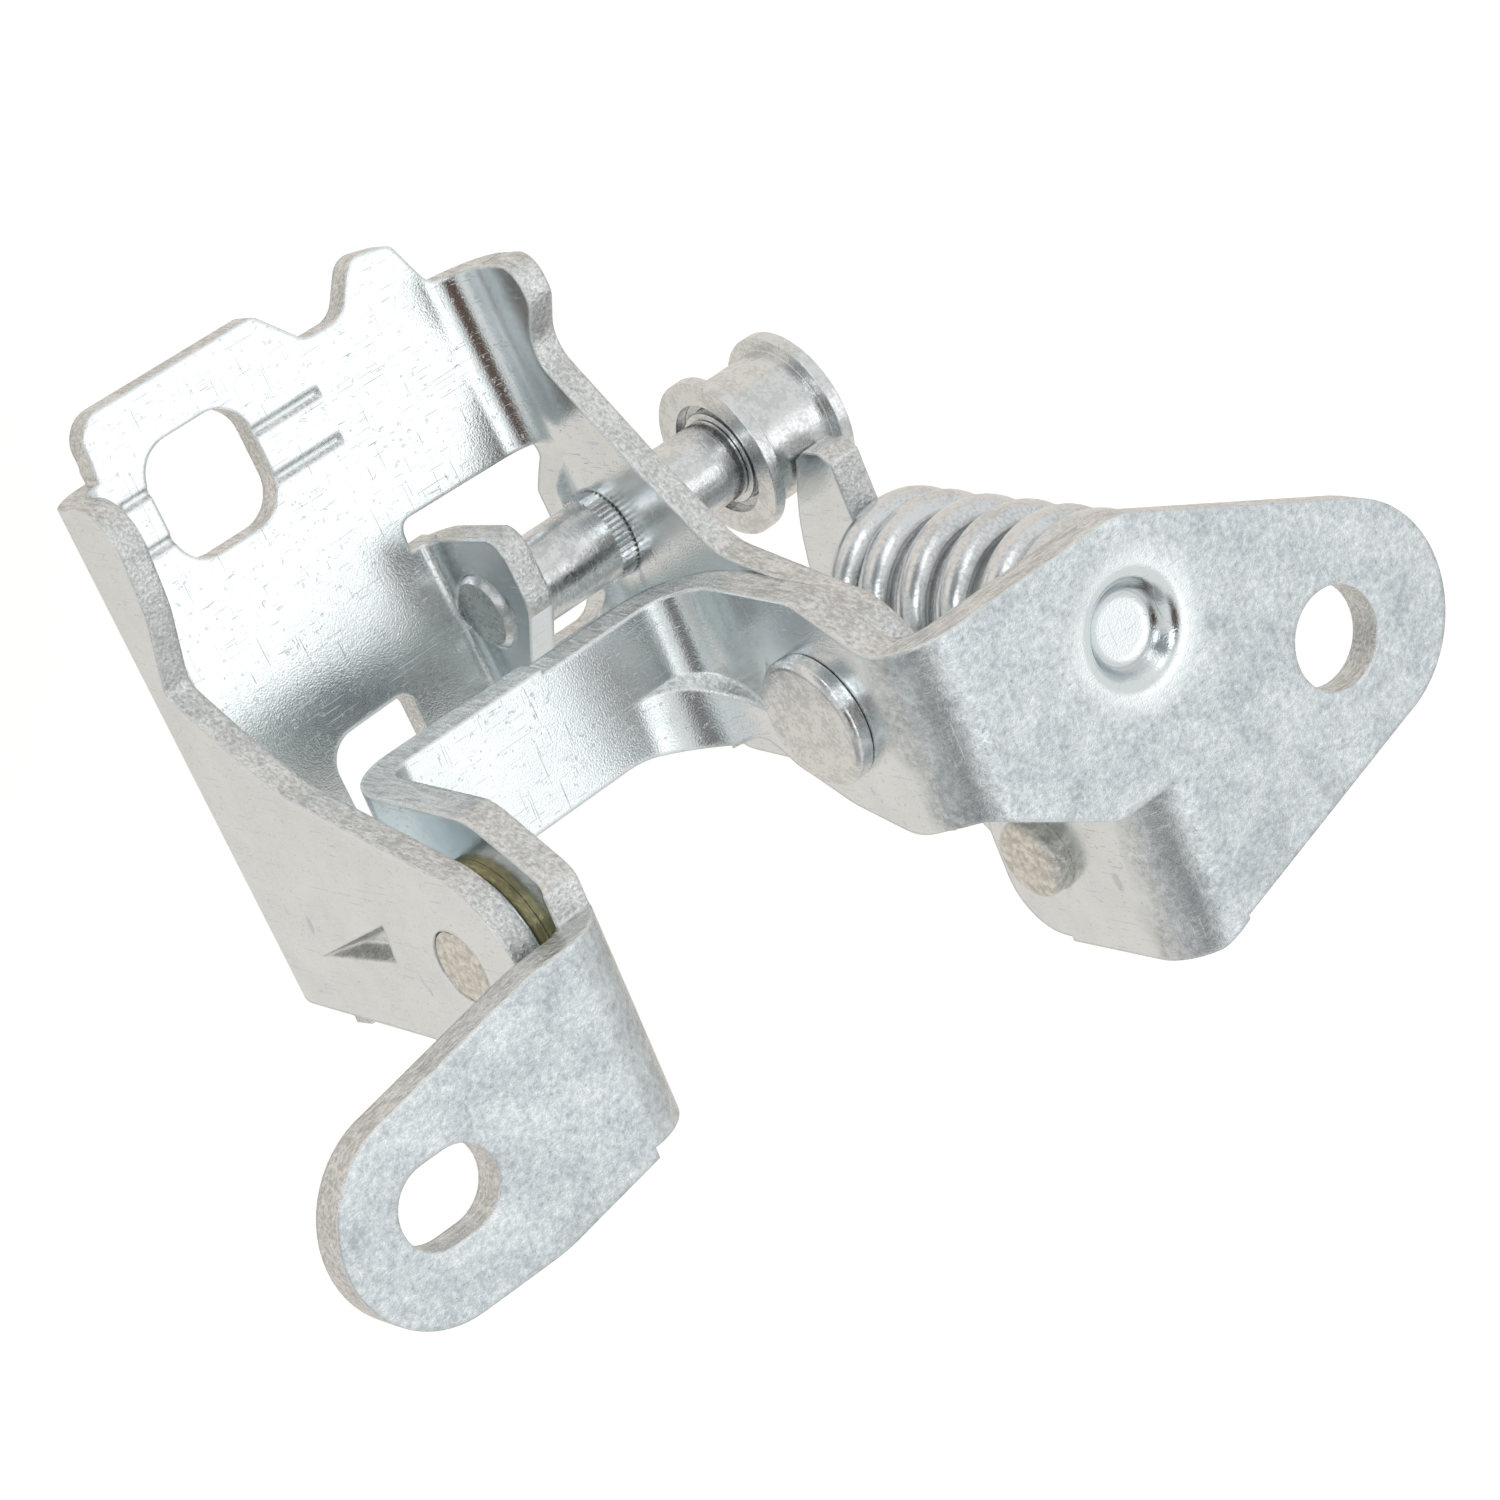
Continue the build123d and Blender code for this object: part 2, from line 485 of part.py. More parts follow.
def turned_piece(steps, rims=(), bore=None, centre=(0, 0), turn=0.0):
    """Piece turned round a line along the pins: steps (start, end, radius), eased rims (position, size)."""
    first = min(step[0] for step in steps)
    last = max(step[1] for step in steps)
    with BuildPart() as piece:
        for start, end, radius in steps:
            with BuildSketch(across(start, turn)):
                with Locations(centre):
                    Circle(radius)
            extrude(amount=end - start)
        for position, size in rims:
            rim = piece.edges().filter_by(GeomType.CIRCLE).filter_by_position(
                Axis.X, HINGE_X + position - RIM_FIND, HINGE_X + position + RIM_FIND)
            chamfer(rim.sort_by(SortBy.LENGTH)[-1], size)
        if bore:
            with BuildSketch(across(first, turn)):
                with Locations(centre):
                    Circle(bore)
            extrude(amount=last - first, mode=Mode.SUBTRACT)
    return piece


# Hinge pins, pressed into the door bracket and turning in the bushes
low_head = wall_low_in + SEAT_GAP
high_head = WALL_HIGH - SEAT_GAP

hinge_pin_lower = turned_piece([(low_head, low_head + PIN_HEAD, PIN_HEAD_RADIUS), (FLANGE_LOW, low_head, PIN_RADIUS)],
                               [(low_head + PIN_HEAD, PIN_ROUND), (FLANGE_LOW, PIN_CHAMFER)])
hinge_pin_lower.part.label = "hinge_pin_lower"
export_step(hinge_pin_lower.part, "parts/hinge_pin_lower.step")

hinge_pin_upper = turned_piece([(high_head - PIN_HEAD, high_head, PIN_HEAD_RADIUS),
                                (high_head, flange_high_out, PIN_RADIUS)],
                               [(high_head - PIN_HEAD, PIN_ROUND), (flange_high_out, PIN_CHAMFER)])
hinge_pin_upper.part.label = "hinge_pin_upper"
export_step(hinge_pin_upper.part, "parts/hinge_pin_upper.step")

# Flanged bushes of the body bracket
body_bushing_lower = turned_piece([(WALL_LOW - BUSH_FLANGE, WALL_LOW, BUSH_FLANGE_RADIUS),
                                   (WALL_LOW, wall_low_in, bush_radius)],
                                  [(WALL_LOW - BUSH_FLANGE, BUSH_CHAMFER)], PIN_RADIUS + PIN_RUNNING_GAP)
body_bushing_lower.part.label = "body_bushing_lower"
export_step(body_bushing_lower.part, "parts/body_bushing_lower.step")

body_bushing_upper = turned_piece([(wall_high_out, wall_high_out + BUSH_FLANGE_HIGH, BUSH_FLANGE_RADIUS),
                                   (WALL_HIGH, wall_high_out, bush_radius)],
                                  [(wall_high_out + BUSH_FLANGE_HIGH, BUSH_CHAMFER)], PIN_RADIUS + PIN_RUNNING_GAP)
body_bushing_upper.part.label = "body_bushing_upper"
export_step(body_bushing_upper.part, "parts/body_bushing_upper.step")

# Thrust washer on the lower pin, turning with the door bracket
washer_end = WALL_LOW - BUSH_FLANGE - THRUST_GAP
thrust_washer_lower = turned_piece([(flange_low_in, washer_end, BUSH_FLANGE_RADIUS)], [(washer_end, WASHER_CHAMFER)],
                                   PIN_RADIUS + PRESS_GAP)
thrust_washer_lower.part.label = "thrust_washer_lower"
export_step(thrust_washer_lower.part, "parts/thrust_washer_lower.step")

# Stud that carries the roller, riveted in the ear and knurled in the flange
roller_end = ROLLER_START + ROLLER_LENGTH
bush_start = ROLLER_START + ROLLER_BUSH_INSET
bush_end = roller_end - ROLLER_BUSH_INSET
stud_shoulder = bush_start - THRUST_GAP
roller_washer_start = bush_end + THRUST_GAP
rivet_start = roller_washer_start + ROLLER_WASHER
rivet_end = rivet_start + JOURNAL_RIVET
stud_core = turned_piece([(EAR_LEVEL - STUD_RIVET, EAR_LEVEL + DOOR_SHEET, STUD_END_RADIUS),
                          (EAR_LEVEL + DOOR_SHEET, stud_shoulder, STUD_RADIUS),
                          (stud_shoulder, rivet_start, JOURNAL_RADIUS),
                          (rivet_start, rivet_end, JOURNAL_RIVET_RADIUS)],
                         [(EAR_LEVEL - STUD_RIVET, STUD_RIVET * 0.8), (rivet_end, JOURNAL_RIVET * 0.6)],
                         centre=STUD_AT, turn=DOOR_TURN)
tooth = 2 * pi / KNURL_TEETH
knurl_outline = []
for number in range(KNURL_TEETH):
    tip_angle = number * tooth
    root_angle = tip_angle + tooth / 2
    knurl_outline.append((KNURL_RADIUS * cos(tip_angle), KNURL_RADIUS * sin(tip_angle)))
    knurl_outline.append((KNURL_ROOT * cos(root_angle), KNURL_ROOT * sin(root_angle)))

with BuildPart() as roller_stud:
    add(stud_core.part)
    with BuildSketch(across(KNURL_START, DOOR_TURN)):
        with Locations(STUD_AT):
            Polygon(*knurl_outline, align=None)
    extrude(amount=flange_high_out - KNURL_START)

roller_stud.part.label = "roller_stud"
export_step(roller_stud.part, "parts/roller_stud.step")

# Grooved roller with its bush and washer
with BuildPart() as roller:
    with BuildSketch(across(ROLLER_START, DOOR_TURN)):
        with Locations(STUD_AT):
            Circle(ROLLER_FLANGE_RADIUS)
            Circle(ROLLER_BUSH_RADIUS + PRESS_GAP, mode=Mode.SUBTRACT)
    extrude(amount=ROLLER_LENGTH)
    fillet(roller.faces().filter_by(GeomType.CYLINDER).sort_by(Axis.X)[-1].edges(), ROLLER_ROUND)
    with BuildSketch(across(ROLLER_START + ROLLER_FLANGE, DOOR_TURN)):
        with Locations(STUD_AT):
            Circle(ROLLER_FLANGE_RADIUS + 1)
            Circle(ROLLER_DRUM_RADIUS, mode=Mode.SUBTRACT)
    extrude(amount=ROLLER_LENGTH - 2 * ROLLER_FLANGE, mode=Mode.SUBTRACT)
    for recess_start in (ROLLER_START, roller_end - ROLLER_RECESS):
        with BuildSketch(across(recess_start, DOOR_TURN)):
            with Locations(STUD_AT):
                Circle(ROLLER_RECESS_RADIUS)
        extrude(amount=ROLLER_RECESS, mode=Mode.SUBTRACT)

roller.part.label = "roller"
export_step(roller.part, "parts/roller.step")

roller_bush = turned_piece([(bush_start, bush_end, ROLLER_BUSH_RADIUS)], (), JOURNAL_RADIUS + PIN_RUNNING_GAP,
                           STUD_AT, DOOR_TURN)
roller_bush.part.label = "roller_bush"
export_step(roller_bush.part, "parts/roller_bush.step")

roller_washer = turned_piece([(roller_washer_start, rivet_start, ROLLER_WASHER_RADIUS)],
                             [(rivet_start, WASHER_CHAMFER)], JOURNAL_RADIUS + PRESS_GAP, STUD_AT, DOOR_TURN)
roller_washer.part.label = "roller_washer"
export_step(roller_washer.part, "parts/roller_washer.step")


def roller_seen_from_arm(swing):
    """Centre of the roller in the frame of the check arm, with the door turned by swing degrees."""
    in_body = turned(STUD_AT, (0, 0), radians(-DOOR_TURN - swing))
    return turned(in_body, ARM_AT, radians(-ARM_RATIO * swing))


def cam_point(swing):
    """Point of the cam edge under the roller, deeper where the roller is to hold the door."""
    before = roller_seen_from_arm(swing - 0.5)
    after = roller_seen_from_arm(swing + 0.5)
    centre = roller_seen_from_arm(swing)
    run = hypot(after[0] - before[0], after[1] - before[1])
    depth = sum(max(0.0, 1 - ((swing - hold) / DETENT_SPREAD) ** 2) for hold in DETENTS) * DETENT_DEPTH
    reach = ROLLER_DRUM_RADIUS + ROLLER_GAP + depth
    return (centre[0] + reach * (after[1] - before[1]) / run, centre[1] - reach * (after[0] - before[0]) / run)


# Check arm: cam edge, spring seat with its tongue, and eye
cam_edge = [cam_point(swing * CAM_STEP) for swing in range(int(DOOR_TRAVEL / CAM_STEP) + 2)]
arm_axis = (ARM_AT[0], ARM_AT[1])
with BuildPart() as check_arm:
    with BuildSketch(across(ARM_START)) as arm_outline:
        with BuildLine():
            Spline(*cam_edge)
            Polyline(cam_edge[-1], (-18, 39.6), (ARM_AT[0], ARM_AT[1] + ARM_EYE_RADIUS),
                     (ARM_AT[0] + 4, ARM_AT[1]), (-5.5, ARM_AT[1] - 9.8), (-14, 22.2), (SPRING_SEAT, 19.5),
                     (SPRING_SEAT, TONGUE_LOW), (TONGUE_REACH, TONGUE_LOW - 1), (TONGUE_REACH, TONGUE_HIGH + 1),
                     (SPRING_SEAT, TONGUE_HIGH), (SPRING_SEAT, -15.6), (-26, -17), (-28.9, -17), (-31.2, -15.6),
                     cam_edge[0])
        make_face()
        fillet(near(arm_outline.vertices(), [(-14, 22.2)]), 5)
        with Locations(arm_axis):
            Circle(ARM_EYE_RADIUS)
            Circle(ARM_BUSH_RADIUS + PRESS_GAP, mode=Mode.SUBTRACT)
    extrude(amount=ARM_THICK)

check_arm.part.label = "check_arm"
export_step(check_arm.part, "parts/check_arm.step")

arm_end = ARM_START + ARM_THICK
arm_bush = turned_piece([(ARM_START, arm_end, ARM_BUSH_RADIUS)], (), ARM_PIN_RADIUS + PIN_RUNNING_GAP, ARM_AT)
arm_bush.part.label = "arm_bush"
export_step(arm_bush.part, "parts/arm_bush.step")

# Pin of the check arm with its washers and retaining ring
ear_inner = EAR_FACE + BODY_SHEET
inner_washer_end = ARM_START - THRUST_GAP
outer_start = arm_end + THRUST_GAP
outer_end = outer_start + ARM_WASHER
ring_start = outer_end + SEAT_GAP
ring_end = ring_start + ARM_RING
arm_pin_end = ring_end + SEAT_GAP + ARM_PIN_TIP

arm_pin = turned_piece([(ARM_PIN_START, outer_end, ARM_PIN_RADIUS), (outer_end, ring_end + SEAT_GAP, ARM_GROOVE_RADIUS),
                        (ring_end + SEAT_GAP, arm_pin_end, ARM_PIN_RADIUS)],
                       [(ARM_PIN_START, ARM_PIN_CHAMFER), (arm_pin_end, ARM_PIN_CHAMFER)], centre=ARM_AT)
arm_pin.part.label = "arm_pin"
export_step(arm_pin.part, "parts/arm_pin.step")

arm_washer_inner = turned_piece([(ear_inner, inner_washer_end, ARM_WASHER_RADIUS)], (), ARM_PIN_RADIUS + PRESS_GAP,
                                ARM_AT)
arm_washer_inner.part.label = "arm_washer_inner"
export_step(arm_washer_inner.part, "parts/arm_washer_inner.step")

arm_washer_outer = turned_piece([(outer_start, outer_end, ARM_WASHER_RADIUS)], [(outer_end, WASHER_CHAMFER)],
                                ARM_PIN_RADIUS + PRESS_GAP, ARM_AT)
arm_washer_outer.part.label = "arm_washer_outer"
export_step(arm_washer_outer.part, "parts/arm_washer_outer.step")

with BuildPart() as arm_pin_ring:
    with BuildSketch(across(ring_start)):
        with Locations(ARM_AT):
            Circle(ARM_RING_RADIUS)
            Circle(ARM_GROOVE_RADIUS + PRESS_GAP, mode=Mode.SUBTRACT)
        with Locations((ARM_AT[0] + ARM_RING_RADIUS, ARM_AT[1])):
            Rectangle(ARM_RING_RADIUS * 2, ARM_GROOVE_RADIUS * 1.4, mode=Mode.SUBTRACT)
    extrude(amount=ARM_RING)

arm_pin_ring.part.label = "arm_pin_ring"
export_step(arm_pin_ring.part, "parts/arm_pin_ring.step")

# Check spring with closed and ground ends
spring_top = foot_back - SEAT_GAP
spring_bottom = SPRING_SEAT + SEAT_GAP
rise_closed = SPRING_CLOSED * SPRING_CLOSE_PITCH
rise_open = spring_top - spring_bottom - 2 * (rise_closed + SPRING_END_INSET)
turns_open = rise_open / SPRING_PITCH
turns_total = 2 * SPRING_CLOSED + turns_open


def wire_rise(turns):
    """Height of the wire's middle above the lower seat after some turns."""
    in_low = min(turns, SPRING_CLOSED) * SPRING_CLOSE_PITCH
    in_open = min(max(turns - SPRING_CLOSED, 0.0), turns_open) * SPRING_PITCH
    in_high = max(turns - SPRING_CLOSED - turns_open, 0.0) * SPRING_CLOSE_PITCH
    return SPRING_END_INSET + in_low + in_open + in_high


wire_steps = round(turns_total * SPRING_STEPS)
wire_path = []
for number in range(wire_steps + 1):
    turns_done = number * turns_total / wire_steps
    wire_angle = SPRING_PHASE + 2 * pi * turns_done
    wire_x = HINGE_X + SPRING_X + SPRING_MEAN_RADIUS * cos(wire_angle)
    wire_y = HINGE_Y + SPRING_Y + SPRING_MEAN_RADIUS * sin(wire_angle)
    wire_path.append((wire_x, wire_y, HINGE_Z + spring_bottom + wire_rise(turns_done)))

with BuildPart() as check_spring:
    with BuildLine() as wire_line:
        Spline(*wire_path)
    with BuildSketch(Plane(origin=wire_path[0], z_dir=wire_line.line % 0)):
        Circle(SPRING_WIRE / 2)
    sweep(path=wire_line.line, is_frenet=True)
    with BuildSketch(along(spring_bottom - SPRING_WIRE)):
        with Locations((SPRING_X, SPRING_Y)):
            Circle(SPRING_MEAN_RADIUS + SPRING_WIRE)
    extrude(amount=SPRING_WIRE, mode=Mode.SUBTRACT)
    with BuildSketch(along(spring_top)):
        with Locations((SPRING_X, SPRING_Y)):
            Circle(SPRING_MEAN_RADIUS + SPRING_WIRE)
    extrude(amount=SPRING_WIRE, mode=Mode.SUBTRACT)

check_spring.part.label = "check_spring"
export_step(check_spring.part, "parts/check_spring.step")
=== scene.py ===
"""Looks of the car door hinge: plated sheets, turned pins, a grooved roller, a check arm and its spring."""

import math

import bmesh
import bpy
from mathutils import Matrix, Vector
from mathutils.bvhtree import BVHTree


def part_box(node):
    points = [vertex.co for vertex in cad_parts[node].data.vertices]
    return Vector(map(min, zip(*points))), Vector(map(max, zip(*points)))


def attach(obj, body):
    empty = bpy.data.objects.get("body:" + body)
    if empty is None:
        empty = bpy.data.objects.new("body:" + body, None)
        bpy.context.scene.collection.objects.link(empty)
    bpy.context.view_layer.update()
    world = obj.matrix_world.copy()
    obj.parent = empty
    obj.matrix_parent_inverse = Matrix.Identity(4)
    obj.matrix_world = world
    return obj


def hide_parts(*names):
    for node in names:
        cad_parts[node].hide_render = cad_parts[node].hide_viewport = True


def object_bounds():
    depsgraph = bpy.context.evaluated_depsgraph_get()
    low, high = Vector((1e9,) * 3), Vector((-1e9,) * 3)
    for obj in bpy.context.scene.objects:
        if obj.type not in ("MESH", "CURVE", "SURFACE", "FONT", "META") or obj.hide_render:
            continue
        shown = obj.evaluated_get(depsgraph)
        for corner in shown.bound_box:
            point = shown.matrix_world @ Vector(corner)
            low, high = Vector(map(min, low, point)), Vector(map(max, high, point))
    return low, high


bl_info = {
    "name": "Car door hinge",
    "version": (1, 0, 0),
    "blender": (4, 5, 0),
    "location": "3D View > Sidebar > Door hinge",
    "description": "Builds the plated pieces of a car door hinge and a plain studio round them",
    "category": "Object",
}

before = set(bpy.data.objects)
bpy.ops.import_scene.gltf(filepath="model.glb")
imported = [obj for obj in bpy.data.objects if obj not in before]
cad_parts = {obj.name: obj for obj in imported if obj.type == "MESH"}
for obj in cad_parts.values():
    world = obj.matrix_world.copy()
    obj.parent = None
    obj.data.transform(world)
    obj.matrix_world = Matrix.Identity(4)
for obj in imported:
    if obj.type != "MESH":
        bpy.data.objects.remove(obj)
cad_low, cad_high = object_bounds()

# Metres, radians, shares and counts
MERGE_DISTANCE = 0.000004
FLAT_TURN = math.radians(0.8)
SHARP_TURN = math.radians(28.0)
EDGE_SEGMENTS = 3
RIM_SEGMENTS = 4
PROBE_DEPTH = 0.00001
SHEET_PLAY = 1.12
FEET_REACH = 1.5
LINER_SHARE = 0.5
SPRING_STEPS = 360
WIRE_SIDES = 24


class HingeSizes(bpy.types.PropertyGroup):
    """Sizes that can be changed in the sidebar."""

    sheared_round: bpy.props.FloatProperty(
        name="Sheared edge rounding", description="Rounding of the edges of the pressed sheets",
        default=0.00080, min=0.0, max=0.0015, unit="LENGTH", precision=5)
    turned_round: bpy.props.FloatProperty(
        name="Turned edge rounding", description="Rounding of the edges of pins, rollers and washers",
        default=0.00018, min=0.0, max=0.001, unit="LENGTH", precision=5)
    head_round: bpy.props.FloatProperty(
        name="Head rounding", description="Rounding of the edges of the riveted heads",
        default=0.0006, min=0.0, max=0.0015, unit="LENGTH", precision=5)
    dimple: bpy.props.FloatProperty(
        name="Dimple", description="Radius within which the rims of the spring's dimple lie",
        default=0.0075, min=0.005, max=0.009, unit="LENGTH", precision=4)
    dimple_round: bpy.props.FloatProperty(
        name="Dimple rounding", description="Rounding of the rims of the spring's dimple",
        default=0.0011, min=0.0, max=0.002, unit="LENGTH", precision=5)
    body_sheet: bpy.props.FloatProperty(
        name="Body sheet", description="Thickness of the body bracket's sheet",
        default=0.0044, min=0.002, max=0.008, unit="LENGTH", precision=4)
    door_sheet: bpy.props.FloatProperty(
        name="Door sheet", description="Thickness of the door bracket's sheet",
        default=0.0036, min=0.002, max=0.008, unit="LENGTH", precision=4)
    arm_plate: bpy.props.FloatProperty(
        name="Arm plate", description="Thickness of the check arm",
        default=0.0045, min=0.002, max=0.008, unit="LENGTH", precision=4)
    wire: bpy.props.FloatProperty(
        name="Spring wire", description="Thickness of the spring's wire",
        default=0.005, min=0.002, max=0.006, unit="LENGTH", precision=4)
    coil: bpy.props.FloatProperty(
        name="Coil radius", description="Radius of the spring's turns at the middle of the wire",
        default=0.0114, min=0.008, max=0.014, unit="LENGTH", precision=4)
    pitch: bpy.props.FloatProperty(
        name="Pitch", description="Rise of one open turn of the spring",
        default=0.0077, min=0.005, max=0.012, unit="LENGTH", precision=4)
    closed_pitch: bpy.props.FloatProperty(
        name="Closed pitch", description="Rise of one closed end turn of the spring",
        default=0.0052, min=0.005, max=0.008, unit="LENGTH", precision=4)
    end_inset: bpy.props.FloatProperty(
        name="Ground end", description="Height of the wire's middle over the ground end of the spring",
        default=0.0008, min=0.0, max=0.0025, unit="LENGTH", precision=4)


class HingeColours(bpy.types.PropertyGroup):
    """Colours that can be changed in the sidebar."""

    plate: bpy.props.FloatVectorProperty(
        name="Zinc plate", description="Colour of the plated sheet", subtype="COLOR", size=3,
        default=(0.835, 0.885, 0.90), min=0.0, max=1.0)
    # Also the tone of the painted dark reflection on the dimple's ring.
    plate_shade: bpy.props.FloatVectorProperty(
        name="Zinc shade", description="Darker tone of the plated sheet's mottling", subtype="COLOR", size=3,
        default=(0.42, 0.46, 0.485), min=0.0, max=1.0)
    # Its lighter tone also paints the highlight on the rounded rims.
    sheared: bpy.props.FloatVectorProperty(
        name="Sheared edge", description="Colour of the sheared edges", subtype="COLOR", size=3,
        default=(0.78, 0.80, 0.80), min=0.0, max=1.0)
    turned: bpy.props.FloatVectorProperty(
        name="Turned steel", description="Colour of the stud, roller and washers", subtype="COLOR", size=3,
        default=(0.76, 0.78, 0.785), min=0.0, max=1.0)
    riveted: bpy.props.FloatVectorProperty(
        name="Riveted steel", description="Colour of the dull pins", subtype="COLOR", size=3,
        default=(0.80, 0.79, 0.735), min=0.0, max=1.0)
    liner: bpy.props.FloatVectorProperty(
        name="Bearing liner", description="Colour of the bushes", subtype="COLOR", size=3,
        default=(0.30, 0.27, 0.15), min=0.0, max=1.0)
    spring: bpy.props.FloatVectorProperty(
        name="Spring wire", description="Colour of the spring", subtype="COLOR", size=3,
        default=(0.72, 0.745, 0.76), min=0.0, max=1.0)
    floor: bpy.props.FloatVectorProperty(
        name="Floor", description="Colour of the studio floor", subtype="COLOR", size=3,
        default=(1.0, 0.935, 0.875), min=0.0, max=1.0)


class Wire:
    """A socket that takes part in maths: an expression on wires adds its Math nodes."""

    def __init__(self, graph, socket):
        self.graph = graph
        self.socket = socket

    def maths(self, operation, *others, swap=False):
        values = [self, *others]
        if swap:
            values.reverse()
        return self.graph.wire(self.graph.maths_node, {"operation": operation}, dict(enumerate(values)))

    def __add__(self, other):
        return self.maths("ADD", other)

    def __radd__(self, other):
        return self.maths("ADD", other)

    def __sub__(self, other):
        return self.maths("SUBTRACT", other)

    def __rsub__(self, other):
        return self.maths("SUBTRACT", other, swap=True)

    def __mul__(self, other):
        return self.maths("MULTIPLY", other)

    def __rmul__(self, other):
        return self.maths("MULTIPLY", other)

    def __truediv__(self, other):
        return self.maths("DIVIDE", other)

    def least(self, other):
        return self.maths("MINIMUM", other)

    def most(self, other):
        return self.maths("MAXIMUM", other)


class Graph:
    """A node tree under construction."""

    maths_node = "ShaderNodeMath"

    def __init__(self, tree):
        self.tree = tree
        self.tree.nodes.clear()

    def node(self, kind, settings=None, values=None):
        """Add a node: its settings first, then the values or links of its sockets."""
        made = self.tree.nodes.new(kind)
        for key, value in (settings or {}).items():
            setattr(made, key, value)
        for key, value in (values or {}).items():
            if isinstance(value, Wire):
                self.tree.links.new(value.socket, made.inputs[key])
            else:
                made.inputs[key].default_value = value
        return made

    def wire(self, kind, settings=None, values=None, output=0):
        """Add a node and return one of its outputs as a wire."""
        return Wire(self, self.node(kind, settings, values).outputs[output])

    def mix(self, share, first, second):
        """Mix of two colours."""
        return self.wire("ShaderNodeMix", {"data_type": "RGBA"}, {0: share, 6: first, 7: second}, output=2)

    def steps(self, wire, low, high, to_low=0.0, to_high=1.0):
        """Smooth step of a wire from low to high."""
        return self.wire("ShaderNodeMapRange", {"interpolation_type": "SMOOTHSTEP"}, {
            "Value": wire, "From Min": low, "From Max": high, "To Min": to_low, "To Max": to_high})


class Finish(Graph):
    """The node tree of one material."""

    def __init__(self, name):
        self.material = bpy.data.materials.new(name)
        self.material.use_nodes = True
        super().__init__(self.material.node_tree)
        self.place = self.wire("ShaderNodeTexCoord", output="Object")

    def noise(self, size, detail=3.0, stretch=(1.0, 1.0, 1.0), roughness=0.55, distortion=0.0):
        """Noise between 0 and 1 with patches of about size metres, stretched along the axes."""
        scale = [1.0 / (size * part) for part in stretch]
        spot = self.wire("ShaderNodeMapping", {"vector_type": "POINT"}, {
            "Vector": self.place, "Scale": scale})
        return self.wire("ShaderNodeTexNoise", {"noise_dimensions": "3D"}, {
            "Vector": spot, "Scale": 1.0, "Detail": detail, "Roughness": roughness, "Distortion": distortion})

    def scratches(self, stretches, size):
        """Thin lines along the ways in which each noise is stretched."""
        lines = None
        for stretch in stretches:
            streaks = self.noise(size, 3.0, stretch=stretch, roughness=0.4, distortion=0.25)
            line = self.steps(streaks, 0.69, 0.76)
            lines = lines.most(line) if lines else line
        return lines

    def bump(self, height, strength, depth, under=None):
        """Normal with a height of depth metres at strength."""
        values = {"Height": height, "Strength": strength, "Distance": depth}
        if under:
            values["Normal"] = under
        return self.wire("ShaderNodeBump", None, values)

    def rounded(self, radius):
        """Normal that turns softly round the edges within a radius."""
        return self.wire("ShaderNodeBevel", {"samples": 6}, {"Radius": radius})

    def rim(self, turned):
        """Share of the way across a rounded edge, from its turned normal."""
        flat = self.wire("ShaderNodeNewGeometry", output="True Normal")
        facing = self.wire(
            "ShaderNodeVectorMath", {"operation": "DOT_PRODUCT"}, {0: turned, 1: flat}, output="Value")
        return self.steps(facing, 0.995, 0.90)

    def metal(self, colour, roughness, normal=None, metallic=1.0, **more):
        """Finish the tree with a surface, metal unless said otherwise."""
        values = {"Base Color": colour, "Roughness": roughness, "Metallic": metallic, **more}
        if normal:
            values["Normal"] = normal
        surface = self.wire("ShaderNodeBsdfPrincipled", None, values)
        self.node("ShaderNodeOutputMaterial", None, {"Surface": surface})
        return self.material


def tint(colour, share=1.0):
    """Colour with its alpha, darkened or lightened."""
    return (*[min(1.0, part * share) for part in colour], 1.0)


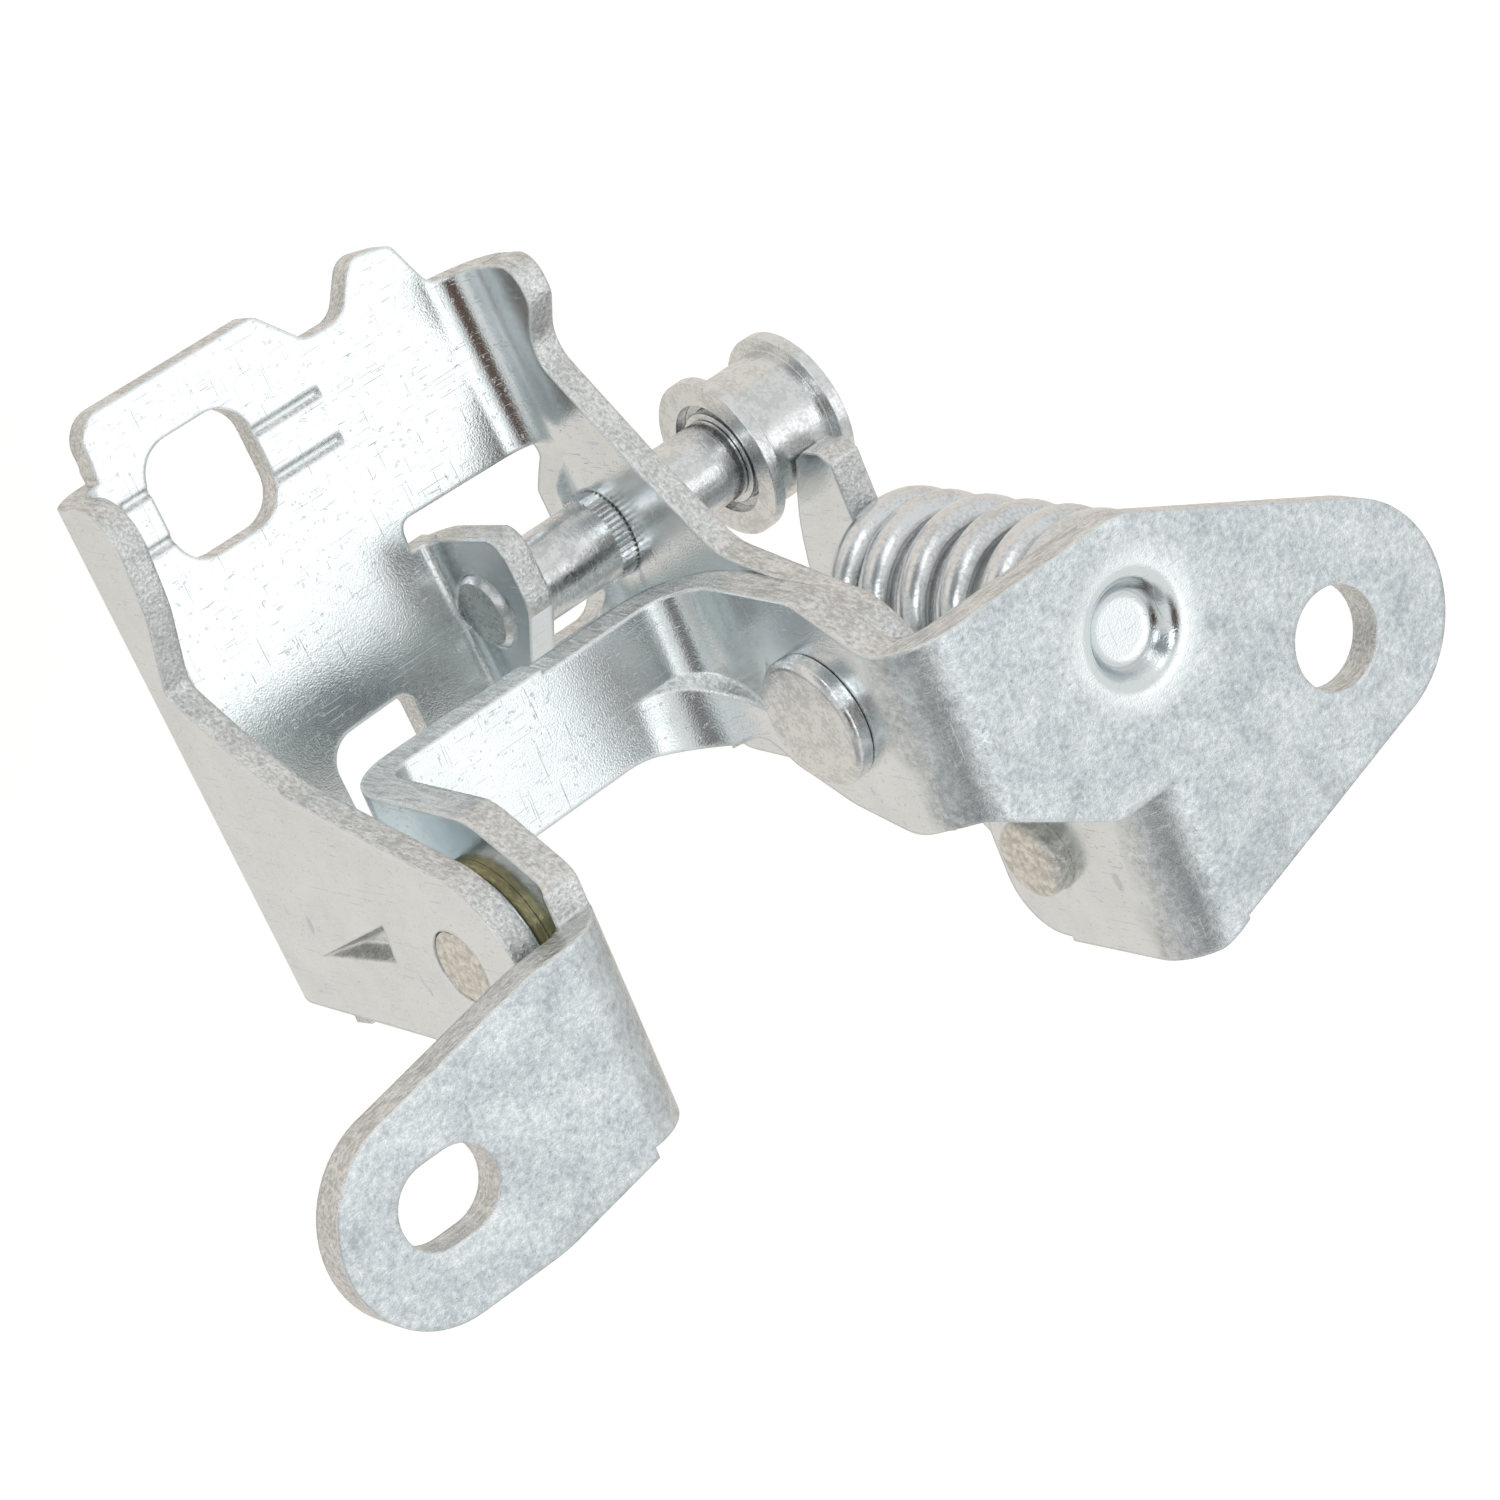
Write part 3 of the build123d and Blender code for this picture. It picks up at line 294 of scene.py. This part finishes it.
def zinc_sheet(colours, rounding, mottled, rubbed):
    """Bright zinc plate on rolled sheet, duller and mottled above a height, apart from a rubbed spot, with a
    painted highlight on the rounded rims and a painted dark reflection on the dimple's ring.
    """
    finish = Finish("zinc_sheet")
    height = finish.wire("ShaderNodeSeparateXYZ", None, {"Vector": finish.place}, output="Z")
    away = finish.wire(
        "ShaderNodeVectorMath", {"operation": "DISTANCE"}, {0: finish.place, 1: rubbed}, output="Value")
    waver = (finish.noise(0.012, 2.0) - 0.5) * 0.012
    # Duller, darker and mottled plate above a set height, smoother and lighter below it.
    upper_zone = finish.steps(height + waver, mottled - 0.002, mottled + 0.002)
    polished = finish.steps(away, 0.0062, 0.0120, 1.0, 0.0)
    upper_zone = upper_zone * (1 - polished * 0.95)
    turned = finish.rounded(rounding)
    rim = finish.rim(turned)
    clouds = finish.noise(0.007, 4.0, roughness=0.65, distortion=0.4)
    spangle = finish.noise(0.0010, 5.0, roughness=0.8)
    grain = finish.noise(0.00024, 2.0)
    pits = finish.steps(finish.noise(0.0008, 2.0), 0.66, 0.72)
    scratches = finish.scratches(((3.0, 0.06, 1.0), (0.07, 2.6, 1.0), (1.0, 0.07, 2.4)), 0.0024)
    spots = (clouds - 0.5) + (spangle - 0.5) * 1.7
    smooth = (clouds - 0.5) * 0.5 + (grain - 0.5) * 0.5 + 0.08
    dull = upper_zone * (spots * 1.35 + 0.54) + (1 - upper_zone) * smooth + pits * 0.25 + scratches * (0.35 - upper_zone * 0.65)
    # Painted highlight: the rounded rims are lighter in colour as well as smoother. The rubbed spot is
    # lighter and smoother from rubbing.
    dull = (dull - rim * 0.5 - polished * 0.3).most(0.0).least(1.0)
    slope = finish.wire("ShaderNodeNewGeometry", output="True Normal")
    upright = finish.wire("ShaderNodeSeparateXYZ", None, {"Vector": slope}, output="Z")
    # Painted dark reflection: the sloped ring of the spring's dimple is darkened in colour, standing in for
    # the dark reflection it shows.
    ring = finish.steps(upright, 0.99, 0.75) * finish.steps(away, 0.0062, 0.0052)
    colour = finish.mix((dull + ring * 0.7).least(1.0), tint(colours.plate), tint(colours.plate_shade))
    roughness = 0.12 + dull * 0.22 + scratches * 0.1 - polished * 0.04
    fine = finish.bump(grain, 0.8, 0.000034, turned)
    relief = (spangle * 0.8 + clouds) * (upper_zone * 0.9 + 0.1) * (1 - polished * 0.6)
    normal = finish.bump(relief + scratches * 0.2 - pits * 0.2, 0.7, 0.00016, fine)
    return finish.metal(colour, roughness, normal)


def sheared_edge(colours, rounding, name, stretch):
    """Sheared edge of the sheet: torn grain and fine lines across the thickness, with bright scuffs and a
    painted highlight on the rounded rims.
    """
    finish = Finish(name)
    lines = finish.noise(0.00040, 4.0, stretch=stretch, roughness=0.7)
    torn = finish.noise(0.0006, 3.0, roughness=0.6)
    patches = finish.noise(0.004, 3.0)
    scuffs = finish.steps(torn * 0.6 + patches * 0.4, 0.52, 0.60)
    turned = finish.rounded(rounding)
    rim = finish.rim(turned)
    # Painted highlight: the rounded rims are made lighter in colour on top of the grain's light lines. Their
    # lower roughness below is burnish.
    bright = (finish.steps(lines * 0.6 + torn * 0.2 + patches * 0.2, 0.38, 0.62) + rim * 0.6).least(1.0)
    colour = finish.mix(bright, tint(colours.sheared, 0.64), tint(colours.sheared, 1.12))
    roughness = 0.24 + finish.steps(patches, 0.3, 0.7) * 0.12 - scuffs.most(rim) * 0.13
    normal = finish.bump(lines, 0.8, 0.00013, finish.bump(torn, 0.8, 0.00022, turned))
    return finish.metal(colour, roughness, normal)


def turned_steel(colours):
    """Plated turned steel: fine rings round the pins' direction, light spangle and rubbed spots."""
    finish = Finish("turned_steel")
    rings = finish.noise(0.0002, 2.0, stretch=(1.0, 20.0, 20.0))
    clouds = finish.noise(0.0024, 4.0, roughness=0.65)
    spangle = finish.noise(0.0006, 3.0, roughness=0.7)
    dull = finish.steps(clouds * 0.6 + spangle * 0.4, 0.42, 0.62)
    colour = finish.mix(dull, tint(colours.turned, 1.06), tint(colours.turned, 0.86))
    roughness = 0.17 + dull * 0.13 + rings * 0.06
    relief = rings * 0.6 + spangle * 0.8 + clouds * 0.6
    return finish.metal(colour, roughness, finish.bump(relief, 0.6, 0.00007))


def riveted_steel(colours):
    """Dull pin ends with hammer marks and pits."""
    finish = Finish("riveted_steel")
    marks = finish.noise(0.0011, 4.0, roughness=0.7)
    pits = finish.steps(finish.noise(0.0007, 2.0), 0.60, 0.70)
    hammered = finish.steps(marks, 0.35, 0.65)
    colour = finish.mix(hammered, tint(colours.riveted, 1.1), tint(colours.riveted, 0.72))
    roughness = 0.34 + marks * 0.16 + pits * 0.1
    return finish.metal(colour, roughness, finish.bump(marks - pits * 0.5, 0.9, 0.00022))


def bearing_liner(colours):
    """Olive bearing liner with rubbed spots."""
    finish = Finish("bearing_liner")
    rubbed = finish.steps(finish.noise(0.0009, 3.0, stretch=(0.4, 1.0, 1.0)), 0.48, 0.68)
    colour = finish.mix(rubbed, tint(colours.liner), tint(colours.liner, 1.5))
    return finish.metal(colour, 0.42 - rubbed * 0.15, finish.bump(rubbed, 0.3, 0.00005), metallic=0.8)


def spring_wire(colours):
    """Bright plated spring wire with drawn speckle."""
    finish = Finish("spring_wire")
    speckle = finish.noise(0.0005, 4.0, roughness=0.7)
    clouds = finish.noise(0.004, 3.0)
    dull = finish.steps(speckle * 0.6 + clouds * 0.4, 0.44, 0.64)
    colour = finish.mix(dull, tint(colours.spring, 1.1), tint(colours.spring, 0.86))
    return finish.metal(colour, 0.09 + dull * 0.12, finish.bump(speckle, 0.6, 0.00006))


def in_dimple(spot, dimple):
    """Whether a spot lies within the dimple."""
    middle, radius, _ = dimple
    return math.hypot(spot.x - middle[0], spot.y - middle[1]) < radius


def node_copy(node, name, rounding=0.0, dimple=None):
    """Merged copy of a CAD node with its sharp edges or the rims of its dimple rounded."""
    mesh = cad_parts[node].data.copy()
    mesh.name = name
    mesh.materials.clear()
    form = bmesh.new()
    form.from_mesh(mesh)
    bmesh.ops.remove_doubles(form, verts=form.verts, dist=MERGE_DISTANCE)
    bmesh.ops.dissolve_limit(form, angle_limit=FLAT_TURN, verts=form.verts, edges=form.edges)
    if dimple:
        rims = [edge for edge in form.edges if edge.calc_face_angle(0.0) > SHARP_TURN
                and all(in_dimple(end.co, dimple) for end in edge.verts)]
        bmesh.ops.bevel(form, geom=rims, offset=dimple[2], segments=RIM_SEGMENTS, profile=0.5,
                        affect="EDGES", clamp_overlap=True)
    for face in form.faces:
        face.smooth = True
    for edge in form.edges:
        edge.smooth = rounding > 0.0 or edge.calc_face_angle(math.pi) < SHARP_TURN
    form.to_mesh(mesh)
    form.free()
    piece = bpy.data.objects.new(name, mesh)
    bpy.context.scene.collection.objects.link(piece)
    if rounding > 0.0:
        rounder = piece.modifiers.new("rounding", "BEVEL")
        rounder.width = rounding
        rounder.segments = EDGE_SEGMENTS
        rounder.limit_method = "ANGLE"
        rounder.angle_limit = SHARP_TURN
    level = piece.modifiers.new("normals", "WEIGHTED_NORMAL")
    level.mode = "FACE_AREA"
    level.weight = 100
    level.keep_sharp = True
    return settle(piece)


def settle(piece):
    """Turn the result of a piece's modifiers into its own plain mesh."""
    seen = piece.evaluated_get(bpy.context.evaluated_depsgraph_get())
    mesh = bpy.data.meshes.new_from_object(seen)
    piece.modifiers.clear()
    old = piece.data
    piece.data = mesh
    mesh.name = piece.name
    bpy.data.meshes.remove(old)
    return piece


def mark_sheared(piece, thickness, dimple):
    """Give each face outside the rolled surfaces and the dimple the sheared edge that runs its way."""
    mesh = piece.data
    mesh.calc_loop_triangles()
    corners = [vertex.co.copy() for vertex in mesh.vertices]
    tree = BVHTree.FromPolygons(corners, [tuple(part.vertices) for part in mesh.loop_triangles])
    widest = {}
    for part in mesh.loop_triangles:
        known = widest.get(part.polygon_index)
        if part.area > (known.area if known else 0.0):
            widest[part.polygon_index] = part
    for number, part in widest.items():
        middle = sum((corners[corner] for corner in part.vertices), Vector()) / 3
        hit = tree.ray_cast(middle - part.normal * PROBE_DEPTH, -part.normal)[3]
        pressed = dimple and in_dimple(middle, dimple)
        if not pressed and (hit is None or hit >= thickness * SHEET_PLAY):
            leaning = abs(part.normal.z) > abs(part.normal.x)
            mesh.polygons[number].material_index = 2 if leaning else 1


def dress(piece, node, body, slot, *finishes):
    """Let a piece stand for a CAD node on its body, with its finishes."""
    for finish in finishes:
        piece.data.materials.append(finish)
    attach(piece, body)
    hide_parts(node)


class PressedSheets(bpy.types.Operator):
    """Build the body bracket, the door bracket and the check arm"""

    bl_idname = "hinge.pressed_sheets"
    bl_label = "Pressed sheets"

    def execute(self, context):
        sizes, colours = context.scene.hinge_sizes, context.scene.hinge_colours
        low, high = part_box("check_spring")
        spring_middle = (Vector(low) + Vector(high)) / 2
        spot = (spring_middle.x, spring_middle.y, 0.0)
        rounding = sizes.sheared_round
        finishes = (zinc_sheet(colours, rounding, -sizes.body_sheet * FEET_REACH, spot),
                    sheared_edge(colours, rounding, "sheared_x", (8.0, 1.0, 1.0)),
                    sheared_edge(colours, rounding, "sheared_z", (1.0, 1.0, 8.0)))
        spring_seat = (spot, sizes.dimple, sizes.dimple_round)
        for node, body, thickness, dimple in (("body_bracket", "body", sizes.body_sheet, spring_seat),
                                              ("door_bracket", "door", sizes.door_sheet, None),
                                              ("check_arm", "arm", sizes.arm_plate, None)):
            piece = node_copy(node, node + "_plated", dimple=dimple)
            mark_sheared(piece, thickness, dimple)
            dress(piece, node, body, "zinc_sheet", *finishes)
        return {"FINISHED"}


class TurnedPieces(bpy.types.Operator):
    """Build the stud, the roller, the pins, the washers and the roller's bush"""

    bl_idname = "hinge.turned_pieces"
    bl_label = "Turned pieces"

    def execute(self, context):
        sizes, colours = context.scene.hinge_sizes, context.scene.hinge_colours
        turned, riveted = turned_steel(colours), riveted_steel(colours)
        fine, heads = sizes.turned_round, sizes.head_round
        for node, body, slot, finish, rounding in (
                ("roller_stud", "door", "zinc_turned", turned, fine),
                ("roller", "roller_body", "zinc_turned", turned, fine),
                ("roller_bush", "roller_body", "bush_liner", turned, fine),
                ("roller_washer", "door", "zinc_turned", turned, fine),
                ("arm_washer_inner", "body", "zinc_turned", turned, fine),
                ("arm_washer_outer", "body", "zinc_turned", turned, fine),
                ("arm_pin_ring", "body", "spring_steel", turned, fine),
                ("thrust_washer_lower", "door", "bush_liner", turned, fine),
                ("hinge_pin_upper", "door", "zinc_turned", turned, heads),
                ("arm_pin", "body", "pin_steel", riveted, heads),
                ("hinge_pin_lower", "door", "pin_steel", riveted, heads)):
            piece = node_copy(node, node + "_turned", rounding)
            dress(piece, node, body, slot, finish)
        return {"FINISHED"}


class Bushes(bpy.types.Operator):
    """Build the olive bushes"""

    bl_idname = "hinge.bushes"
    bl_label = "Bushes"

    def execute(self, context):
        sizes, colours = context.scene.hinge_sizes, context.scene.hinge_colours
        liner = bearing_liner(colours)
        for node, body in (("body_bushing_lower", "body"), ("body_bushing_upper", "body"),
                           ("arm_bush", "arm")):
            piece = node_copy(node, node + "_lined", sizes.turned_round * LINER_SHARE)
            dress(piece, node, body, "bush_liner", liner)
        return {"FINISHED"}


class Coils(Graph):
    """The geometry node tree of the spring."""

    def __init__(self, name):
        super().__init__(bpy.data.node_groups.new(name, "GeometryNodeTree"))
        self.inputs = {}
        self.tree.interface.new_socket("Geometry", in_out="OUTPUT", socket_type="NodeSocketGeometry")

    def size(self, name, kind="NodeSocketFloat"):
        """Add a named input of the tree."""
        socket = self.tree.interface.new_socket(name, in_out="INPUT", socket_type=kind)
        self.inputs[name] = socket.identifier
        return name

    def finish(self, geometry, material):
        """End the tree in plain faces with a material."""
        real = self.wire("GeometryNodeRealizeInstances", None, {"Geometry": geometry})
        painted = self.wire("GeometryNodeSetMaterial", None, {"Geometry": real, "Material": material})
        self.node("NodeGroupOutput", None, {0: painted})


class CheckSpring(bpy.types.Operator):
    """Wind the check spring with closed and ground ends"""

    bl_idname = "hinge.check_spring"
    bl_label = "Check spring"

    def path(self, coils, get, steps):
        """Middle line of the wire: one closed turn at each end and open turns between them."""
        open_rise = get["Top"] - get["Bottom"] - get["Inset"] * 2 - get["Closed pitch"] * 2
        open_turns = open_rise / get["Pitch"]
        line = coils.wire("GeometryNodeMeshLine", None, {"Count": steps}, output="Mesh")
        turns = coils.wire("GeometryNodeInputIndex") / (steps - 1) * (open_turns + 2)
        in_low = turns.least(1.0) * get["Closed pitch"]
        in_open = (turns - 1).most(0.0).least(open_turns) * get["Pitch"]
        in_high = (turns - 1 - open_turns).most(0.0) * get["Closed pitch"]
        angle = turns * math.tau
        spot = coils.wire("ShaderNodeCombineXYZ", None, {
            "X": get["Middle X"] + angle.maths("COSINE") * get["Coil radius"],
            "Y": get["Middle Y"] + angle.maths("SINE") * get["Coil radius"],
            "Z": get["Bottom"] + get["Inset"] + in_low + in_open + in_high})
        placed = coils.wire("GeometryNodeSetPosition", None, {"Geometry": line, "Position": spot})
        return coils.wire("GeometryNodeMeshToCurve", None, {"Mesh": placed})

    def ground(self, coils, get, tube):
        """The wire with its ends ground flat at the bottom and the top."""
        where = coils.node("ShaderNodeSeparateXYZ", None, {"Vector": coils.wire("GeometryNodeInputPosition")})
        across, along, height = (Wire(coils, where.outputs[axis]) for axis in "XYZ")
        level = height.most(get["Bottom"]).least(get["Top"])
        spot = coils.wire("ShaderNodeCombineXYZ", None, {"X": across, "Y": along, "Z": level})
        return coils.wire("GeometryNodeSetPosition", None, {"Geometry": tube, "Position": spot})

    def execute(self, context):
        sizes, colours = context.scene.hinge_sizes, context.scene.hinge_colours
        low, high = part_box("check_spring")
        values = {
            "Middle X": (low[0] + high[0]) / 2, "Middle Y": (low[1] + high[1]) / 2, "Bottom": low[2],
            "Top": high[2], "Wire radius": sizes.wire / 2, "Coil radius": sizes.coil,
            "Pitch": sizes.pitch, "Closed pitch": sizes.closed_pitch, "Inset": sizes.end_inset}
        coils = Coils("check_spring_coils")
        for name in values:
            coils.size(name)
        steps = coils.size("Steps", "NodeSocketInt")
        entry = coils.node("NodeGroupInput")
        get = {name: Wire(coils, entry.outputs[name]) for name in values}
        path = self.path(coils, get, Wire(coils, entry.outputs[steps]))
        ring = coils.wire("GeometryNodeCurvePrimitiveCircle", {"mode": "RADIUS"}, {
            "Resolution": WIRE_SIDES, "Radius": get["Wire radius"]})
        tube = coils.wire("GeometryNodeCurveToMesh", None, {
            "Curve": path, "Profile Curve": ring, "Fill Caps": True})
        smooth = coils.wire("GeometryNodeSetShadeSmooth", None, {"Geometry": self.ground(coils, get, tube)})
        coils.finish(smooth, spring_wire(colours))
        piece = bpy.data.objects.new("check_spring_wound", bpy.data.meshes.new("check_spring_wound"))
        context.scene.collection.objects.link(piece)
        winder = piece.modifiers.new("coils", "NODES")
        winder.node_group = coils.tree
        for name, value in values.items():
            winder[coils.inputs[name]] = value
        winder[coils.inputs[steps]] = SPRING_STEPS
        settle(piece)
        dress(piece, "check_spring", "body", "spring_steel")
        return {"FINISHED"}


class Studio(bpy.types.Operator):
    """Build the floor, the lamps, the world and the camera"""

    bl_idname = "hinge.studio"
    bl_label = "Studio"

    camera_at = (-0.395852, 0.2881, 0.546869)
    camera_turn = (-7.733, -35.8863, -26.0424)
    camera_lens = 146.731
    camera_sensor = 36.0
    floor_radius = 12.0
    floor_sides = 64
    floor_drop = 0.10
    seen_lift = (0.31, 0.33, 0.355)
    lamps = (("key", (-0.78, 0.68, 0.92), 0.55, 1.7),
             ("rim", (-0.10, 1.30, 0.80), 0.7, 1.0))
    sky_colour = (0.77, 0.77, 0.76, 1.0)
    sky_patches = (((0.27, -0.12, 0.955), 19.0, 11.0, (1.36, 1.36, 1.36)),
                   ((-0.63, -0.35, 0.70), 10.0, 10.0, (0.24, 0.25, 0.26)),
                   ((-0.62, -0.03, 0.78), 16.0, 6.0, (0.11, 0.07, 0.055)),
                   ((-0.463, 0.376, 0.803), 9.0, 12.0, (0.20, 0.20, 0.21)),
                   ((0.40, 0.88, 0.25), 20.0, 20.0, (0.80, 0.80, 0.79)),
                   ((-0.55, 0.76, 0.35), 17.0, 14.0, (0.30, 0.32, 0.33)),
                   ((-0.65, -0.75, 0.05), 17.0, 14.0, (0.34, 0.35, 0.36)))

    def floor(self, context):
        """Wide pale floor under the hinge."""
        form = bmesh.new()
        bmesh.ops.create_circle(form, cap_ends=True, segments=self.floor_sides, radius=self.floor_radius)
        mesh = bpy.data.meshes.new("floor")
        form.to_mesh(mesh)
        form.free()
        level = cad_low[2] - self.floor_drop
        for corner in mesh.vertices:
            corner.co.z = level
        floor = bpy.data.objects.new("floor", mesh)
        context.scene.collection.objects.link(floor)
        finish = Finish("pale_floor")
        cloud = finish.noise(0.4, 2.0)
        pale = context.scene.hinge_colours.floor
        colour = finish.mix(cloud, tint(pale), tint(pale, 0.99))
        seen = finish.wire("ShaderNodeLightPath", output="Is Camera Ray")
        lift = finish.mix(seen, (0.0, 0.0, 0.0, 1.0), tint(self.seen_lift))
        glow = {"Emission Color": lift, "Emission Strength": 1.0}
        mesh.materials.append(finish.metal(colour, 0.9, metallic=0.0, **glow))

    def world(self, context):
        """Pale surroundings with brighter and darker patches, as a photographer's room has."""
        world = bpy.data.worlds.new("studio")
        context.scene.world = world
        world.use_nodes = True
        sky = Graph(world.node_tree)
        way = sky.wire("ShaderNodeTexCoord", output="Generated")
        light = self.sky_colour
        for middle, radius, blur, colour in self.sky_patches:
            facing = sky.wire("ShaderNodeVectorMath", {"operation": "DOT_PRODUCT"}, {
                0: way, 1: Vector(middle).normalized()}, output="Value")
            rim, core = (math.cos(math.radians(part)) for part in (radius + blur, radius - blur / 2))
            light = sky.mix(sky.steps(facing, rim, core), light, (*colour, 1.0))
        seen = sky.wire("ShaderNodeLightPath", output="Is Camera Ray")
        light = sky.mix(seen, light, (1.0, 1.0, 1.0, 1.0))
        surface = sky.wire("ShaderNodeBackground", None, {"Color": light, "Strength": 1.0})
        sky.node("ShaderNodeOutputWorld", None, {"Surface": surface})

    def lamp(self, context, name, place, size, power):
        """Soft square lamp that looks at the hinge."""
        light = bpy.data.lights.new(name, "AREA")
        light.size = size
        light.energy = power
        lamp = bpy.data.objects.new(name, light)
        context.scene.collection.objects.link(lamp)
        middle = (Vector(cad_low) + Vector(cad_high)) / 2
        lamp.location = place
        lamp.rotation_mode = "QUATERNION"
        lamp.rotation_quaternion = (middle - Vector(place)).to_track_quat("-Z", "Y")

    def execute(self, context):
        self.floor(context)
        self.world(context)
        for lamp in self.lamps:
            self.lamp(context, *lamp)
        data = bpy.data.cameras.new("camera")
        data.lens = self.camera_lens
        data.sensor_width = self.camera_sensor
        camera = bpy.data.objects.new("camera", data)
        context.scene.collection.objects.link(camera)
        camera.location = self.camera_at
        camera.rotation_euler = [math.radians(part) for part in self.camera_turn]
        context.scene.camera = camera
        context.scene.view_settings.view_transform = "Standard"
        return {"FINISHED"}


class HingePanel(bpy.types.Panel):
    """Lists the pieces and their sizes"""

    bl_idname = "VIEW3D_PT_door_hinge"
    bl_label = "Door hinge"
    bl_space_type = "VIEW_3D"
    bl_region_type = "UI"
    bl_category = "Door hinge"

    def draw(self, context):
        for group in (context.scene.hinge_sizes, context.scene.hinge_colours):
            for name in group.bl_rna.properties.keys():
                if name not in ("rna_type", "name"):
                    self.layout.prop(group, name)
        for operator in OPERATORS:
            self.layout.operator(operator.bl_idname)


OPERATORS = (PressedSheets, TurnedPieces, Bushes, CheckSpring, Studio)
CLASSES = (HingeSizes, HingeColours, *OPERATORS, HingePanel)


def register():
    """Register the classes and their settings."""
    for part in CLASSES:
        bpy.utils.register_class(part)
    bpy.types.Scene.hinge_sizes = bpy.props.PointerProperty(type=HingeSizes)
    bpy.types.Scene.hinge_colours = bpy.props.PointerProperty(type=HingeColours)


def unregister():
    """Remove the settings and the classes."""
    del bpy.types.Scene.hinge_colours
    del bpy.types.Scene.hinge_sizes
    for part in reversed(CLASSES):
        bpy.utils.unregister_class(part)


def main():
    """Build every piece and the studio."""
    register()
    bpy.ops.hinge.pressed_sheets()
    bpy.ops.hinge.turned_pieces()
    bpy.ops.hinge.bushes()
    bpy.ops.hinge.check_spring()
    bpy.ops.hinge.studio()


if __name__ == "__main__":
    main()
